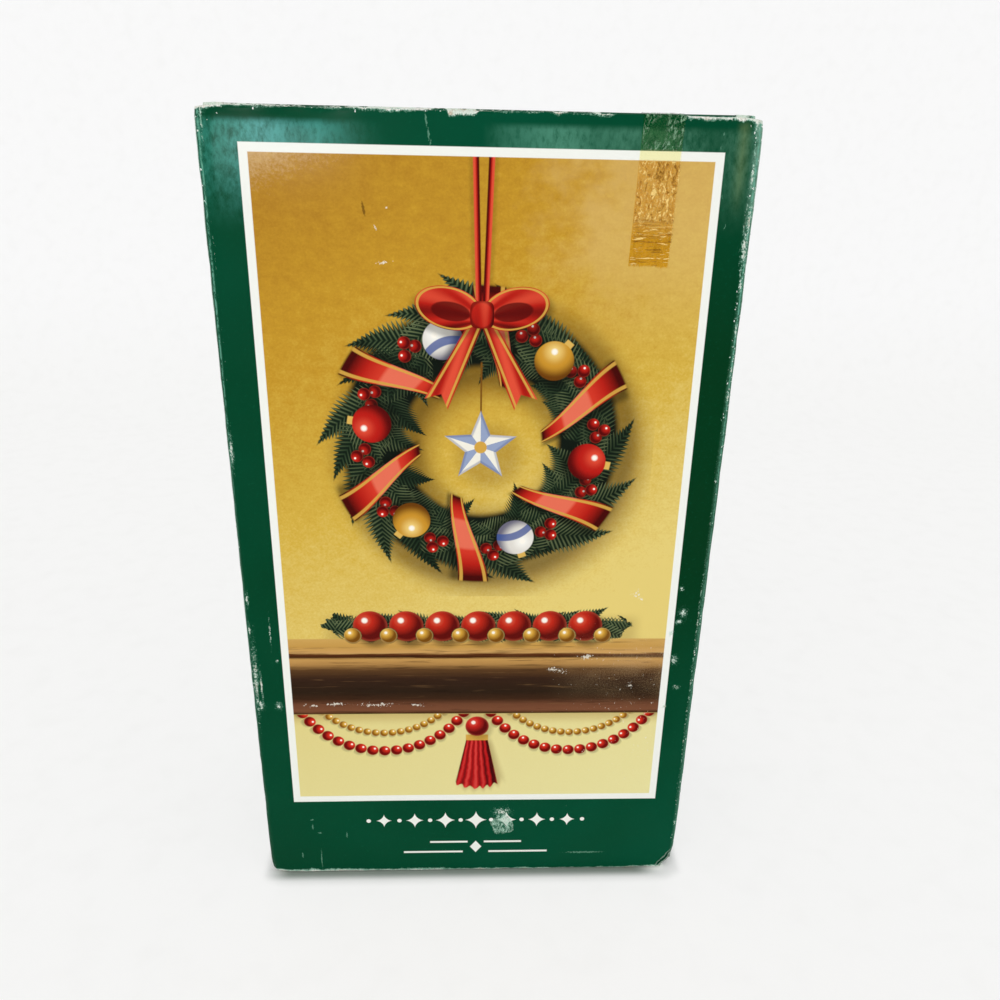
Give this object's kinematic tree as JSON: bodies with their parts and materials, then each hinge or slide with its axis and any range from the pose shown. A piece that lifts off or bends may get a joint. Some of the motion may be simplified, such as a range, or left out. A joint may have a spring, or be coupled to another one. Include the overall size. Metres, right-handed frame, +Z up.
{
  "type": "printed retail carton",
  "caption": "Upright printed board carton with a tuck-in lid, closed with a strip of clear tape over its front edge.",
  "frame": {"origin": "middle of the base, on the surface that the carton stands on", "axes": "+X to the right along the front panel, +Y from the front panel to the back panel, +Z up"},
  "size_m": [0.172, 0.0901, 0.2951],
  "materials": {
    "printed_board": "printed board under a gloss varnish, worn white along its folds",
    "aged_tape": "clear adhesive tape, yellowed and wrinkled"
  },
  "bodies": {
    "root": {"carton": "printed_board", "seal_tape": "aged_tape"}
  },
  "joints": []
}
